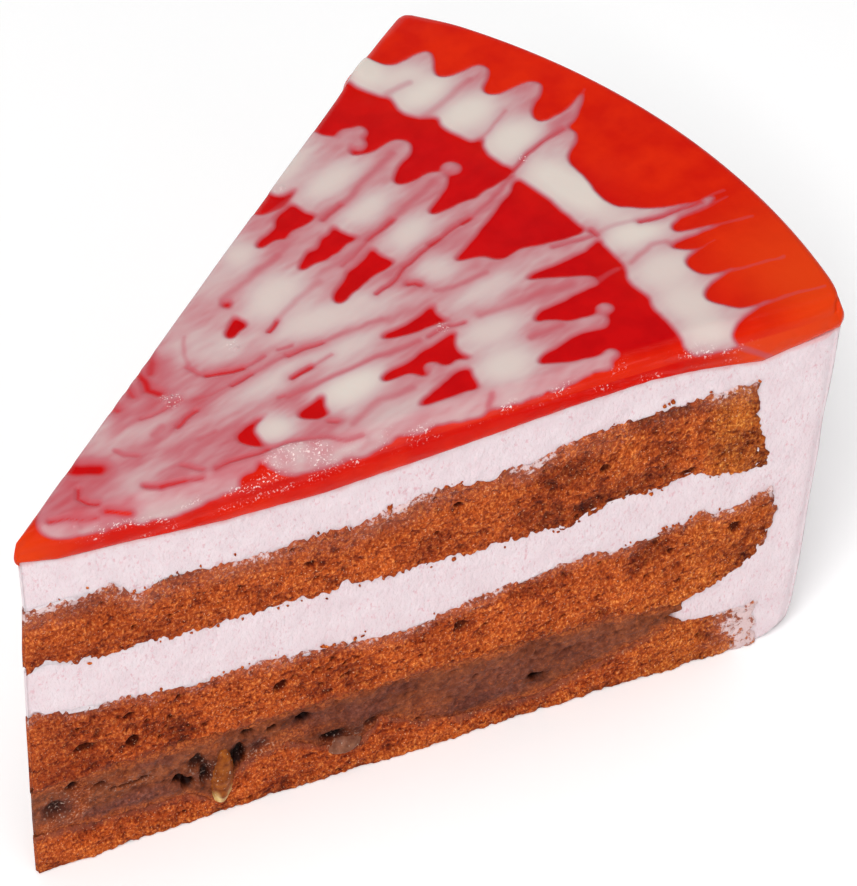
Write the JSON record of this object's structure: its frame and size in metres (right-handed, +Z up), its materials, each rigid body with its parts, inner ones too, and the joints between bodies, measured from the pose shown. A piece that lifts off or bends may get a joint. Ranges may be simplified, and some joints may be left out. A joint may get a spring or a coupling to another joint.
{
  "type": "slice of chocolate cake",
  "caption": "Wedge slice of chocolate layer cake: sponges with pink mousse, dark chocolate and nut filling, and a red jelly top with feathered icing.",
  "frame": {"origin": "middle of the box round the slice, at its base", "axes": "+X from the tip to the outer wall, +Z up"},
  "size_m": [0.1084, 0.0774, 0.0589],
  "materials": {
    "sponge": "open chocolate sponge crumb, dull",
    "filling": "moist dark chocolate filling",
    "mousse": "pale pink mousse with fine bubbles",
    "glaze": "wet red jelly with pale feathered icing",
    "nut": "moist chopped nut"
  },
  "bodies": {
    "root": {"sponge_bottom": "sponge", "sponge_middle": "sponge", "sponge_top": "sponge", "filling": "filling", "mousse": "mousse", "glaze": "glaze", "nut_long": "nut", "nut_small": "nut"}
  },
  "joints": []
}
